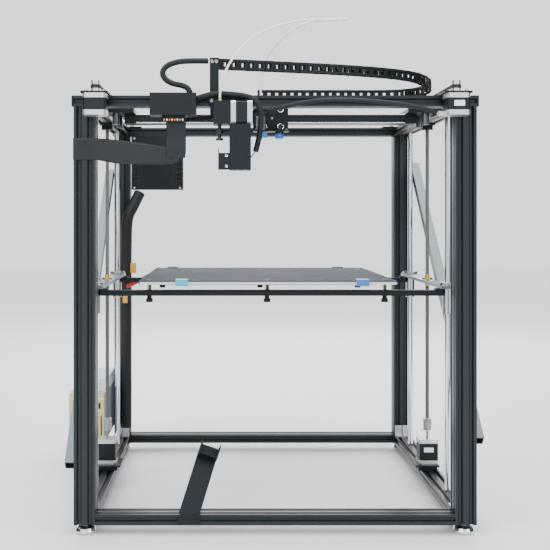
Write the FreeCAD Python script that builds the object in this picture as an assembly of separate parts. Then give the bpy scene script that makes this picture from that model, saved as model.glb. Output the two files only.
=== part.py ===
import FreeCAD, Part
import math
import os

os.makedirs("parts", exist_ok=True)
V = FreeCAD.Vector

# Driving dimensions, in millimetres. X is across, Y is front to back, Z is up from the floor.
PLAN_SHIFT = V(32, 23, 0)   # puts the origin under the middle of the whole machine
FRAME_W = 748.0            # across the corner posts
FRAME_D = 700.0            # front face to rear face
POST = 40.0                # square corner post
BEAM_H = 20.0              # beams lie flat: 20 high, 40 wide
BEAM_W = 40.0
FOOT_H = 20.0
TOP_Z = 817.5              # top face of the top beams
GAP = 0.3                  # between curved faces of different bodies
FIT = 0.05                 # radial clearance of a shaft that turns in its hole
SHAFT_R = 2.5

HALF_W = FRAME_W / 2
HALF_D = FRAME_D / 2
POST_X = HALF_W - POST / 2
POST_Y = HALF_D - POST / 2
BEAM_UNDER = TOP_Z - BEAM_H
BASE_TOP = FOOT_H + BEAM_H
INNER_X = HALF_W - POST
INNER_Y = HALF_D - POST

# Vertical drive
ROD_R = 6.0
ROD_Y = 200.0
SCREW_R = 4.0
MOTOR = 42.3               # NEMA 17 face
SIDE_Z0 = 449.0            # bed side plates
SIDE_T = 6.0
BAR_Z0 = 434.5
BAR_H = 11.0
BAR_W = 20.0
BED = 510.0                # square heated bed
BED_X = -9.0               # the bed sits a little left of the middle
BED_Y0 = -247.0
BED_Z0 = 459.5
BED_T = 5.0
KNOB_X = (-245.0, BED_X, 227.0)

# Belt and gantry level
RAIL_Z = 794.0
RAIL_Y0 = -155.0
RAIL_D = 40.0
RAIL_H = 20.0
RAIL_HALF = 300.0
CORNER_X = 330.0
MOTOR_Y = -374.0
PLATE_T = 3.0
BELT_Z0 = 828.0
BELT_H = 6.0
BELT_T = 1.6
PULLEY_R = 8.0
IDLER_Y = 326.0

# Cable chain: control points of its path, with the height of its top
CHAIN_PITCH = 17.0
CHAIN_GAP = 2.1
CHAIN_H = 19.5
CHAIN_T = 15.0
CHAIN_ROUTE = [(-118, -341, 887), (-36, -318, 887), (45, -294, 887), (126, -268, 887), (205, -235, 887),
               (262, -199, 887), (300, -164, 886), (328, -122, 882), (339, -89, 879), (340, -55, 875),
               (330, -23, 875), (308, 4, 875), (280, 19, 875), (250, 21, 875), (190, 21, 875), (80, 20, 875),
               (-21, 19, 875)]

nodes = {}


def box(x0, x1, y0, y1, z0, z1):
    return Part.makeBox(x1 - x0, y1 - y0, z1 - z0, V(x0, y0, z0))


def rod(x, y, z, r, length, axis=V(0, 0, 1)):
    return Part.makeCylinder(r, length, V(x, y, z), axis)


def fuse(*shapes):
    return shapes[0].multiFuse(list(shapes[1:])).removeSplitter()


def keep(name, *solids):
    """Adds separate solids to a node. Pieces bolted together and alike share one node."""
    nodes.setdefault(name, []).extend(solids)


def both_sides(make):
    return [make(side) for side in (-1, 1)]


def extrusion(width, height, length):
    """Slotted aluminium profile along +Z, centred on the axis, with a slot every 20 mm of each face."""
    body = box(-width / 2, width / 2, -height / 2, height / 2, 0, length)
    cell, mouth, neck, room, lip, depth = 20.0, 4.6, 3.1, 5.2, 1.8, 5.6
    outline = [(-mouth, 0.1), (-mouth, 0), (-neck, -lip), (-room, -lip), (-room + 2.4, -depth),
               (room - 2.4, -depth), (room, -lip), (neck, -lip), (mouth, 0), (mouth, 0.1)]
    points = [V(x, y, 0) for x, y in outline]
    slot = Part.Face(Part.makePolygon(points + points[:1])).extrude(V(0, 0, length))
    cuts = []
    for quarter in range(4):
        span, reach = (width, height / 2) if quarter % 2 == 0 else (height, width / 2)
        for k in range(int(span / cell)):
            cut = slot.copy()
            cut.translate(V(-span / 2 + cell * (k + 0.5), reach, 0))
            cut.rotate(V(0, 0, 0), V(0, 0, 1), 90 * quarter)
            cuts.append(cut)
    for i in range(int(width / cell)):
        for j in range(int(height / cell)):
            cuts.append(rod(-width / 2 + cell * (i + 0.5), -height / 2 + cell * (j + 0.5), 0, 2.1, length))
    return body.cut(Part.makeCompound(cuts))


def beam(along, a0, a1, across, under):
    """Flat beam along X or Y from a0 to a1, its middle at across, its underside at under."""
    shape = extrusion(BEAM_W, BEAM_H, a1 - a0)
    shape.rotate(V(0, 0, 0), V(1, 0, 0), -90)
    if along == "x":
        shape.rotate(V(0, 0, 0), V(0, 0, 1), -90)
        shape.translate(V(a0, across, under + BEAM_H / 2))
    else:
        shape.translate(V(across, a0, under + BEAM_H / 2))
    return shape


def tube_path(points, radius, name):
    """Tube along straight runs joined by tangent arcs, each arc as large as its runs allow."""
    pts = [V(*p) for p in points]
    edges, start, radii = [], pts[0], []
    for before, here, after in zip(pts, pts[1:], pts[2:]):
        a, b = here - before, after - here
        turn = a.getAngle(b)
        reach = 0.45 * min(a.Length, b.Length)
        radii.append(round(reach / math.tan(turn / 2), 1))
        enter = here - V(a).normalize() * reach
        leave = here + V(b).normalize() * reach
        chord = (V(b).normalize() - V(a).normalize()).normalize()
        middle = here + chord * (radii[-1] / math.cos(turn / 2) - radii[-1])
        edges.append(Part.LineSegment(start, enter).toShape())
        edges.append(Part.Arc(enter, middle, leave).toShape())
        start = leave
    edges.append(Part.LineSegment(start, pts[-1]).toShape())
    path = Part.Wire(edges)
    ring = Part.Wire([Part.Circle(pts[0], pts[1] - pts[0], radius).toShape()])
    tube = path.makePipeShell([ring], True, False)
    wanted = math.pi * radius ** 2 * path.Length
    print(name, "length", round(path.Length), "radii", radii, "volume ratio", round(tube.Volume / wanted, 4))
    return tube


def frame():
    """Corner posts, beams, end caps, feet and the diagonal side braces."""
    posts = []
    for sx in (-1, 1):
        for sy in (-1, 1):
            post = extrusion(POST, POST, BEAM_UNDER - FOOT_H)
            post.translate(V(sx * POST_X, sy * POST_Y, FOOT_H))
            posts.append(post)
    keep("corner_posts", *posts)
    keep("frame_beams", *[beam("x", -HALF_W, HALF_W, sy * POST_Y, BEAM_UNDER) for sy in (-1, 1)])
    keep("frame_beams", *both_sides(lambda s: beam("y", -INNER_Y, INNER_Y, s * POST_X, BEAM_UNDER)))
    keep("frame_beams", *[beam("x", -INNER_X, INNER_X, sy * POST_Y, FOOT_H) for sy in (-1, 1)])
    keep("frame_beams", *both_sides(lambda s: beam("y", -INNER_Y, INNER_Y, s * POST_X, FOOT_H)))
    cap_t = 4.0
    caps, feet = [], []
    for sx in (-1, 1):
        for sy in (-1, 1):
            x0 = HALF_W if sx > 0 else -HALF_W - cap_t
            cap = box(x0, x0 + cap_t, sy * POST_Y - BEAM_W / 2, sy * POST_Y + BEAM_W / 2, BEAM_UNDER, TOP_Z)
            caps.append(cap)
            feet.append(foot(sx * POST_X, sy * POST_Y))
    keep("end_caps", *caps)
    keep("levelling_feet", *feet)
    keep("side_braces", *both_sides(brace))
    for sx in (-1, 1):
        for sy in (-1, 1):
            keep("side_braces", *corner_brackets(sx, sy))


def foot(x, y):
    """Round levelling foot, its rim and top rounded, turned about its stud."""
    rim, stud = 20.0, 7.0
    outline = [(0, 0), (13, 0), (17.5, 2), (rim, 7), (18, 12), (14, 15), (9, 16),
               (stud, 16), (stud, FOOT_H), (0, FOOT_H)]
    points = [V(a, 0, b) for a, b in outline]
    turned = Part.Face(Part.makePolygon(points + points[:1])).revolve(V(0, 0, 0), V(0, 0, 1), 360)
    turned.translate(V(x, y, 0))
    return turned


def corner_brackets(sx, sy):
    """Pair of angle brackets between a post's inner face and the top of a bottom side beam."""
    arm, width, thick = 25.0, 17.0, 3.0
    pair = []
    for offset in (-9.5, 9.5):
        x = sx * POST_X + offset
        shape = fuse(box(x - width / 2, x + width / 2, -arm, 0, 0, thick),
                     box(x - width / 2, x + width / 2, -thick, 0, 0, arm))
        if sy < 0:
            shape = shape.mirror(V(0, 0, 0), V(0, 1, 0))
        shape.translate(V(0, sy * INNER_Y, BASE_TOP))
        pair.append(shape)
    return pair


def brace(side):
    """Square tube from high on the rear post to low on the front post, on the outside."""
    size, wall = 20.0, 1.5
    low = V(0, -HALF_D + 30, 170) if side > 0 else V(0, -HALF_D + 24, 125)
    high = V(0, HALF_D - 45, 722 if side > 0 else 705)
    run = high - low
    outer = box(0, size, -size / 2, size / 2, 0, run.Length)
    inner = box(wall, size - wall, -size / 2 + wall, size / 2 - wall, -1, run.Length + 1)
    shape = outer.cut(inner)
    shape.rotate(V(0, 0, 0), V(1, 0, 0), -math.degrees(math.atan2(run.y, run.z)))
    shape.translate(low + V(HALF_W if side > 0 else -HALF_W - size, 0, 0))
    return shape


def stepper(x, y, z0, length):
    """NEMA 17 stepper standing on z0, corners cut, with a bore for its shaft."""
    h, c = MOTOR / 2, 4.0
    outline = [(-h + c, -h), (h - c, -h), (h, -h + c), (h, h - c),
               (h - c, h), (-h + c, h), (-h, h - c), (-h, -h + c)]
    points = [V(x + a, y + b, z0) for a, b in outline]
    core = Part.Face(Part.makePolygon(points + points[:1])).extrude(V(0, 0, length))
    inset, bell = 1.0, 9.0
    band = box(x - h - 1, x + h + 1, y - h - 1, y + h + 1, z0 + bell, z0 + length - bell)
    slim = box(x - h + inset, x + h - inset, y - h + inset, y + h - inset, z0 + bell, z0 + length - bell)
    core = core.cut(band.cut(slim))
    return core.cut(rod(x, y, z0 + length - 18, SHAFT_R + FIT, 19))


def vertical_drive():
    """Smooth rods, lead screws with couplings, motors and their mounts."""
    rods = [rod(sx * POST_X, sy * ROD_Y, BASE_TOP, ROD_R, BEAM_UNDER - BASE_TOP)
            for sx in (-1, 1) for sy in (-1, 1)]
    keep("smooth_rods", *rods)
    motor_z, motor_l = 50.0, 53.0
    keep("lift_motors", *both_sides(lambda s: stepper(s * POST_X, 0, motor_z, motor_l)))

    def mount(side):
        plate = box(side * POST_X - 26, side * POST_X + 26, -36, 36, motor_z - 3, motor_z)
        ear = box(side * POST_X - 20, side * POST_X + 20, -36, -26, BASE_TOP, motor_z - 3)
        far = box(side * POST_X - 20, side * POST_X + 20, 26, 36, BASE_TOP, motor_z - 3)
        shape = fuse(plate, ear, far)
        shape.translate(V(-side * 6, 0, 0))
        return shape

    keep("screw_supports", *both_sides(mount))

    def bearing(side):
        block = fuse(box(side * POST_X - 13, side * POST_X + 13, -26, 26, BEAM_UNDER - 4, BEAM_UNDER),
                     rod(side * POST_X, 0, BEAM_UNDER - 13, 12.5, 9))
        return block.cut(rod(side * POST_X, 0, BEAM_UNDER - 14, SCREW_R + GAP, 15))

    keep("screw_supports", *both_sides(bearing))
    for name, side in (("left", -1), ("right", 1)):
        x = side * POST_X
        low, length = 121.0, 26.0
        middle = low + length / 2
        coupling = rod(x, 0, low, 9, length).cut(rod(x, 0, middle, SCREW_R, length / 2))
        shaft_z = motor_z + motor_l - 15
        shaft = rod(x, 0, shaft_z, SHAFT_R, low + 1 - shaft_z)
        keep("lead_screw_" + name, rod(x, 0, middle, SCREW_R, BEAM_UNDER - 1 - middle))
        keep("lead_screw_" + name, fuse(coupling, shaft))


def bed_platform():
    """Side plates on the rods, cross bars, springs, knobs and the bed."""
    plates, bearings, nuts = [], [], []
    for side in (-1, 1):
        x = side * (POST_X - 2)
        plate = box(x - 16, x + 16, -225, 225, SIDE_Z0, SIDE_Z0 + SIDE_T)
        for sy in (-1, 1):
            plate = plate.cut(rod(side * POST_X, sy * ROD_Y, SIDE_Z0 - 1, 10.7, SIDE_T + 2))
        plates.append(plate.cut(rod(side * POST_X, 0, SIDE_Z0 - 1, 5.3, SIDE_T + 2)))
        for sy in (-1, 1):
            flange = rod(side * POST_X, sy * ROD_Y, SIDE_Z0 + SIDE_T, 18, 6)
            sleeve = rod(side * POST_X, sy * ROD_Y, SIDE_Z0 - 50, 10.5, 50 + SIDE_T)
            hole = rod(side * POST_X, sy * ROD_Y, SIDE_Z0 - 51, ROD_R + 0.05, 70)
            bearings.append(fuse(flange, sleeve).cut(hole))
        flange = rod(side * POST_X, 0, SIDE_Z0 + SIDE_T, 11, 3.5)
        neck = rod(side * POST_X, 0, SIDE_Z0 - 9, 5.1, 9 + SIDE_T + 10)
        nuts.append(fuse(flange, neck).cut(rod(side * POST_X, 0, SIDE_Z0 - 10, SCREW_R + GAP, 40)))
    keep("side_plates", *plates)
    keep("rod_bearings", *bearings)
    keep("lead_nuts", *nuts)
    reach = POST_X - 11.5

    def bar(sy):
        y = sy * (ROD_Y + 1) - BAR_W / 2
        long_bar = box(-reach, reach, y, y + BAR_W, BAR_Z0, BAR_Z0 + BAR_H)
        spans = [(s * (reach - 7) - 7, s * (reach - 7) + 7) for s in (-1, 1)]
        blocks = [box(x0, x1, y, y + BAR_W, BAR_Z0, SIDE_Z0) for x0, x1 in spans]
        holes = [rod(x, y + BAR_W / 2, BAR_Z0 - 1, 2 + FIT, BAR_H + 2) for x in KNOB_X]
        return fuse(long_bar, *blocks).cut(Part.makeCompound(holes))

    bars = [bar(sy) for sy in (-1, 1)]
    springs = []
    for sy in (-1, 1):
        y = sy * (ROD_Y + 1)
        for x in KNOB_X:
            top = BAR_Z0 + BAR_H
            springs.append(rod(x, y, top, 5.2, BED_Z0 - top).cut(rod(x, y, top - 1, 2.4, 40)))
    keep("cross_bars", *bars)
    keep("bed_springs", *springs)
    for row, sy in (("front", -1), ("rear", 1)):
        for place, x in zip(("left", "middle", "right"), KNOB_X):
            y = sy * (ROD_Y + 1)
            stem = rod(x, y, BAR_Z0 - 12, 2.0, 12 + BAR_H + 10)
            grip = fuse(rod(x, y, BAR_Z0 - 13, 6.8, 7), rod(x, y, BAR_Z0 - 6.2, 4.6, 5.9))
            keep("knob_" + row + "_" + place, fuse(stem, grip))
    x0 = BED_X - BED / 2
    keep("heated_bed", box(x0 + 40, x0 + BED - 40, BED_Y0 + 30, BED_Y0 + BED - 30, BED_Z0 - 3, BED_Z0).cut(
        Part.makeCompound([box(x - 9, x + 9, y - 9, y + 9, BED_Z0 - 4, BED_Z0 + 1)
                           for x in KNOB_X for y in (-ROD_Y - 1, ROD_Y + 1)])))
    plate = box(x0, x0 + BED, BED_Y0, BED_Y0 + BED, BED_Z0, BED_Z0 + BED_T)
    edges = [e for e in plate.Edges if abs(e.Length - BED_T) < 0.01]
    keep("heated_bed", plate.makeFillet(5, edges))
    sheet = box(x0 + 1, x0 + BED - 1, BED_Y0 + 1, BED_Y0 + BED - 1, BED_Z0 + BED_T, BED_Z0 + BED_T + 2)
    edges = [e for e in sheet.Edges if abs(e.Length - 2) < 0.01]
    keep("build_surface", sheet.makeFillet(4, edges))
    clips = []
    for x, y, s in ((-178, BED_Y0, -1), (177, BED_Y0, -1), (-223, BED_Y0 + BED, 1), (184, BED_Y0 + BED, 1)):
        top = BED_Z0 + BED_T + 2
        outer = box(x - 12.5, x + 12.5, y - 13, y + 13, BED_Z0 - 3, top + 3)
        outer.translate(V(0, -s * 9, 0))
        slot = box(x - 13, x + 13, y - 20, y + 20, BED_Z0, top)
        slot.translate(V(0, -s * 20, 0))
        clips.append(outer.cut(slot))
    keep("bed_clips", *clips)


def corner_drive():
    """Belt motors, corner plates, pulleys, idlers and the belt runs along the frame."""
    motor_l = 40.0
    keep("belt_motors", *both_sides(lambda s: stepper(s * CORNER_X, MOTOR_Y, TOP_Z - motor_l, motor_l)))
    plug_x = CORNER_X - MOTOR / 2
    plug_z = TOP_Z - motor_l + 1
    keep("belt_motors", box(plug_x - 10, plug_x, MOTOR_Y + 5, MOTOR_Y + 19, plug_z, plug_z + 10))

    def motor_plate(side):
        x = side * CORNER_X
        plate = box(x - 25, x + 25, MOTOR_Y - 22, -HALF_D + 38, TOP_Z, TOP_Z + PLATE_T)
        return plate.cut(rod(x, MOTOR_Y, TOP_Z - 1, 11, PLATE_T + 2))

    def idler_plate(side):
        x = side * CORNER_X
        plate = box(x - 25, x + 25, IDLER_Y - 22, HALF_D, TOP_Z, TOP_Z + PLATE_T)
        post = rod(x, IDLER_Y, TOP_Z + PLATE_T, 2.5, 16)
        return fuse(plate, post, rod(x, IDLER_Y, TOP_Z + PLATE_T, 5, BELT_Z0 - 2 - TOP_Z - PLATE_T))

    keep("corner_plates", *both_sides(motor_plate))
    keep("corner_plates", *both_sides(idler_plate))
    for name, side in (("left", -1), ("right", 1)):
        x = side * CORNER_X
        teeth = rod(x, MOTOR_Y, BELT_Z0 - 1, PULLEY_R - 1, BELT_H + 2)
        hub = rod(x, MOTOR_Y, BELT_Z0 - 6, PULLEY_R, 5)
        top = rod(x, MOTOR_Y, BELT_Z0 + BELT_H + 1, PULLEY_R, 7)
        shaft = rod(x, MOTOR_Y, TOP_Z - 15, SHAFT_R, 33)
        keep("drive_pulley_" + name, fuse(teeth, hub, top, shaft))
        wheel = fuse(rod(x, IDLER_Y, BELT_Z0 - 1, PULLEY_R - 1, BELT_H + 2),
                     rod(x, IDLER_Y, BELT_Z0 - 2, PULLEY_R, 1),
                     rod(x, IDLER_Y, BELT_Z0 + BELT_H + 1, PULLEY_R, 1))
        keep("corner_plates", wheel.cut(rod(x, IDLER_Y, BELT_Z0 - 4, 2.5 + GAP, 30)))
    runs = []
    for side in (-1, 1):
        for offset in (-1, 1):
            x = side * CORNER_X + offset * (PULLEY_R - 1 + GAP + BELT_T / 2)
            runs.append(box(x - BELT_T / 2, x + BELT_T / 2, MOTOR_Y, IDLER_Y, BELT_Z0, BELT_Z0 + BELT_H))
        ring_r = PULLEY_R - 1 + GAP
        ring = rod(side * CORNER_X, MOTOR_Y, BELT_Z0, ring_r + BELT_T, BELT_H)
        ring = ring.cut(rod(side * CORNER_X, MOTOR_Y, BELT_Z0, ring_r, BELT_H))
        runs.append(ring.cut(box(-HALF_W, HALF_W, MOTOR_Y, 0, BELT_Z0, BELT_Z0 + BELT_H)))
    y = IDLER_Y + PULLEY_R - 1 + GAP
    runs.append(box(-CORNER_X, CORNER_X, y, y + BELT_T, BELT_Z0, BELT_Z0 + BELT_H))
    keep("frame_belts", *runs)


def gantry():
    """Cross rail on two end brackets, with its belt and idlers."""
    z0, y1 = RAIL_Z - RAIL_H / 2, RAIL_Y0 + RAIL_D
    rail = box(-RAIL_HALF, RAIL_HALF, RAIL_Y0, y1, z0, z0 + RAIL_H)
    groove = box(-RAIL_HALF - 1, RAIL_HALF + 1, RAIL_Y0 - 1, RAIL_Y0 + 2.5, RAIL_Z - 6.5, RAIL_Z + 6.5)
    keep("cross_rail", rail.cut(groove))
    shaft_r = 1.2
    shafts = [rod(-RAIL_HALF + 24, RAIL_Y0 - shaft_r - 0.1, z, shaft_r, 2 * (RAIL_HALF - 24), V(1, 0, 0))
              for z in (z0 + 1.5, z0 + RAIL_H - 1.5)]
    keep("cross_rail", *shafts)
    brackets, idlers = [], []
    for side in (-1, 1):
        inner, outer = (278, INNER_X - 1.5) if side > 0 else (-INNER_X + 1.5, -278)
        plate = box(inner, outer, RAIL_Y0 - 26, y1 + 26, z0 + RAIL_H, z0 + RAIL_H + 8)
        pads = [rod(side * 316, yy, z0 - 4, 7, RAIL_H + 4) for yy in (RAIL_Y0 - 13, y1 + 13)]
        brackets.append(fuse(plate, *pads))
        x = side * (CORNER_X - PULLEY_R - 9.5)
        for yy in (RAIL_Y0 - 12, y1 + 12):
            post = rod(x, yy, z0 + RAIL_H + 8, 2.5, BELT_Z0 + BELT_H + 3 - z0 - RAIL_H - 8)
            wheel = rod(x, yy, BELT_Z0 - 1, PULLEY_R - 1, BELT_H + 2)
            idlers.append(fuse(post, wheel, rod(x, yy, z0 + RAIL_H + 8, 4.5, 8)))
    keep("gantry_brackets", *brackets)
    keep("gantry_brackets", *idlers)
    reach = CORNER_X - PULLEY_R - 9.5
    belts = [box(-reach, reach, yy, yy + BELT_T, BELT_Z0, BELT_Z0 + BELT_H)
             for yy in (RAIL_Y0 - 12 + PULLEY_R - 1 + GAP, y1 + 12 - PULLEY_R + 1 - GAP - BELT_T)]
    keep("gantry_belts", *belts)


def carriage():
    """Tool carriage with its wheels, hot end, probe and cable chain mount."""
    front, thick = RAIL_Y0 - 8.0, 3.0
    x0, x1 = -36.0, 36.0
    wheel_x, wheel_z = (-14.0, 20.0), (RAIL_Z - 17.9, RAIL_Z + 17.9)
    plate = box(x0, x1, front, front + thick, RAIL_Z - 29, RAIL_Z + 27)
    shelf = box(x0, x1, front - 28, front, RAIL_Z - 29, RAIL_Z - 26.5)
    shelf_z, seat_z, seat_y = 838.0, CHAIN_ROUTE[-1][2] - CHAIN_H - GAP, CHAIN_ROUTE[-1][1]
    mount_x = x0 + 40
    arm = fuse(box(x0, mount_x, front, front + thick, RAIL_Z + 27, shelf_z),
               box(x0, mount_x, front, seat_y - 19, shelf_z, shelf_z + thick),
               box(x0, mount_x, seat_y - 22, seat_y - 19, shelf_z, seat_z),
               box(x0, mount_x, seat_y - 22, seat_y + 12, seat_z - thick, seat_z))
    plate = fuse(plate, shelf, arm)
    holes = [rod(x, front - 1, z, SHAFT_R + FIT, thick + 2, V(0, 1, 0)) for x in wheel_x for z in wheel_z]
    seats = [rod(-21, front - 19, RAIL_Z - 30, 4.0, 5), rod(17, front - 17, RAIL_Z - 30, 6.0, 5)]
    keep("carriage_plate", plate.cut(Part.makeCompound(holes + seats)))
    for i, (x, z) in enumerate((x, z) for z in wheel_z for x in wheel_x):
        disc = rod(x, RAIL_Y0 + 3, z, 7.4, 6, V(0, 1, 0))
        axle = rod(x, front - 4, z, 2.5, RAIL_Y0 + 8 - front, V(0, 1, 0))
        ring = rod(x, front - 4.3, z, 7.0, 4, V(0, 1, 0))
        name = ("lower_left", "lower_right", "upper_left", "upper_right")[i]
        keep("wheel_" + name, fuse(disc, axle, ring))
    x, y = -21.0, front - 19
    sink = rod(x, y, RAIL_Z - 26.5, 3.6, 34)
    fins = [rod(x, y, RAIL_Z - 24 + 3 * k, 9.5, 1.6) for k in range(9)]
    neck = rod(x, y, RAIL_Z - 30.5, 3.6, 4.1)
    keep("hot_end", fuse(sink, neck, rod(x, y, RAIL_Z + 7, 5, 6), *fins))
    sock = box(x - 6.5, x + 13, y - 10, y + 10, RAIL_Z - 41, RAIL_Z - 30.5)
    keep("heater_sock", sock.cut(rod(x, y, RAIL_Z - 42, 3.1, 3)))
    keep("hot_end", fuse(rod(x, y, RAIL_Z - 44.5, 3, 5), Part.makeCone(0.8, 3, 3.5, V(x, y, RAIL_Z - 48))))
    x, y = 17.0, front - 17
    keep("bed_probe", fuse(rod(x, y, RAIL_Z - 43, 8.3, 13.8), rod(x, y, RAIL_Z - 29.5, 5.9, 8)))


def front_assembly():
    """Extruder, junction box, brackets, cable sleeves and the spool arm on the front beams."""
    face = -HALF_D
    plate = box(-121, -43, face - 3, face, 779, 816)
    mast = box(-121.4, -104.4, face - 3, face, 816, CHAIN_ROUTE[0][2])
    foot = box(-124, -102, face - 3, face, 797, 816)
    keep("front_bracket", fuse(plate, mast, foot))
    back, near = face - 3.3, -395.5
    shell = box(-114, -83.3, near, back, 760.5, 803)
    room = box(-111, -86.3, near + 6, back + 1, 764, 799)
    keep("extruder_body", shell.cut(room).cut(rod(-87, near + MOTOR / 2, 782, 3.2, 5, V(1, 0, 0)))
         .cut(rod(-102.5, -380, 790, 2.3, 20)))
    motor = stepper(0, 0, 0, 39.0)
    motor.rotate(V(0, 0, 0), V(0, 1, 0), -90)
    motor.translate(V(-43.5, near + MOTOR / 2, 782))
    keep("extruder_motor", motor)
    axis_y = near + MOTOR / 2
    gear = fuse(rod(-104, axis_y, 782, 8, 7, V(1, 0, 0)), rod(-104, axis_y, 782, SHAFT_R, 30, V(1, 0, 0)))
    keep("extruder_gear", gear)
    fitting = fuse(rod(-102.5, -380, 803, 4.2, 3), rod(-102.5, -380, 806, 3.2, 5))
    fitting = fitting.cut(rod(-102.5, -380, 802, 2.05, 12))
    guide = fuse(rod(-103, -375, 736, 3.2, 24.5), rod(-103, -375, 743, 6, 9), rod(-103, -375, 732, 6.8, 4))
    keep("tube_fittings", fitting)
    keep("tube_fittings", guide)
    cover = box(-85.2, -46.1, near, back, 677.5, 760.2)
    keep("extruder_cover", cover.cut(box(-83.2, -48.1, near + 2, back + 1, 679.5, 758.2)))
    side = fuse(box(-105.5, -85.2, near + 1, near + 3, 677.5, 708),
                box(-105.5, -103.5, near + 1, near + 22, 677.5, 715))
    keep("extruder_cover", side)
    keep("junction_box", fuse(box(-229.6, -145.4, near, face - 0.3, 777, 817.2),
                              box(-208, -166, near + 12, near + 30, 766, 777)))
    arm = fuse(box(-19, 19, -3, 0, -25, 140), box(-19, 19, -24, -3, 112, 114.5),
               box(-19, -16.5, -24, -3, 112, 140), box(16.5, 19, -24, -3, 112, 140))
    arm.rotate(V(0, 0, 0), V(1, 0, 0), -36.9)
    arm.rotate(V(0, 0, 0), V(0, 1, 0), 19.5)
    arm.translate(V(-160, face, BASE_TOP + GAP))
    arm = arm.cut(box(-260, 0, face, face + 60, 0, BASE_TOP + GAP))
    arm = arm.cut(box(-260, 0, face - 60, face - 3, 0, 200))
    keep("spool_arm", fuse(arm, box(-181, -139, face - 3, face, 22, 41)))
    ribbon(face)


def ribbon(face):
    """Flat cable round the front left post, across the front and up to the junction box."""
    thick = 1.5
    x_wrap, y_free = -HALF_W, face - thick

    def panel(points, along):
        return Part.Face(Part.makePolygon([V(*p) for p in points + points[:1]])).extrude(along)

    side = box(x_wrap - thick, x_wrap, face - thick, face + POST, 697, 738.5)
    front = box(x_wrap - thick, -330, face - thick, face, 696.5, 738.5)
    y_end, x_free = face - 27.0, -330.0
    slope = (y_end - y_free) / (-165 - x_free)
    corners = [(x_free, 738.5), (-165, 716), (-183, 689), (x_free, 692)]
    free = panel([(x, y_free + slope * (x - x_free), z) for x, z in corners], V(0, thick, 0))
    rise = box(-201, -164, y_end, y_end + thick, 700, 766)
    keep("ribbon_cable", fuse(side, front, free, rise))


def boxes():
    """Power supply outside on the left and the controller box at the rear."""
    supply = box(-458, -HALF_W, 118, 333, 66, 179)
    keep("power_supply", supply)
    keep("power_supply", box(-440, -HALF_W, 150, 330, 179, 208))
    body = box(-329, -200, 300, 340, 661, BEAM_UNDER)
    vents = []
    for k in range(5):
        for x in (-325, -212):
            vents.append(box(x, x + 8, 299, 304, 673 + 12 * k, 678 + 12 * k))
    keep("controller_box", body.cut(Part.makeCompound(vents)))


def cables():
    """Braided sleeves and the clear filament tube."""
    loop = [(-157, -372, 819.2), (-160, -372, 828), (-172, -371, 833.5), (-190, -370, 836.5),
            (-204, -369, 845), (-209, -368, 858), (-201, -366, 870), (-182, -364, 877.5),
            (-158, -361, 880), (-124, -358, 880)]
    keep("sleeve_to_chain", tube_path(loop, 5.3, "sleeve_to_chain"))
    feed = [(-142.8, -370, 810), (-126, -370, 816), (-104, -366, 819), (-80, -366, 817.5), (-58, -366, 815),
            (-35, -366, 808), (-26.5, -366, 786), (-27, -366, 762), (-30, -366, 738), (-37, -366, 712)]
    keep("sleeve_to_cover", tube_path(feed, 5.3, "sleeve_to_cover"))
    lead = [(297, -362, 783.5), (277, -362, 791), (235, -362, 800), (187, -360, 805), (139, -360, 808),
            (97, -360, 808), (62, -360, 805), (30, -360, 799), (-4, -356, 792), (-30, -345, 787.5),
            (-62, -339, 784), (-96, -338, 780), (-128, -340, 775.5), (-149, -347, 772),
            (-161.5, -362, 771.5)]
    keep("motor_lead", tube_path(lead, 4.3, "motor_lead"))
    front = [(-102.5, -380, 805), (-102.5, -380, 825), (-93, -376, 859), (-76.5, -370, 887),
             (-54.5, -362, 914.5), (-26.5, -353, 934.5), (5.5, -343, 949.5), (52, -322, 963),
             (81.5, -308, 966), (113, -295, 968), (136, -286, 971), (143, -274, 974.5)]
    rear = [(143, -274, 974.5), (139, -261, 978), (116, -250, 980.5), (68, -238, 975.5), (45.5, -228, 966),
            (16.5, -213, 945), (-3, -202, 923), (-13, -193, 903), (-19.5, -186, 874), (-21.5, -183, 842),
            (-21, -182, 807.6)]
    keep("tube_front_half", tube_path(front, 2.0, "tube_front_half"))
    keep("tube_rear_half", tube_path(rear, 2.0, "tube_rear_half"))


def rear_wiring():
    """Wrapped wiring up the rear left corner, with connectors, and the heater lead from the bed."""
    wrap = [(-342, 286, 66), (-341, 285, 150), (-342, 286, 240), (-341, 285, 330), (-342, 286, 420),
            (-341, 285, 510), (-340, 286, 590), (-326, 292, 615), (-310, 310, 652)]
    harness = tube_path(wrap, 14.0, "cable_harness")
    plugs = [box(-330, -316, 276, 286, 452, 478), box(-348, -336, 264, 274, 378, 396)]
    keep("cable_harness", harness, *[plug.cut(harness) for plug in plugs])
    lead = [(-246, 237, 453.8), (-268, 238, 452), (-290, 243, 444), (-310, 252, 433), (-326, 260, 424),
            (-337, 266, 419)]
    keep("heater_cable", tube_path(lead, 5.0, "heater_cable"))


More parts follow.
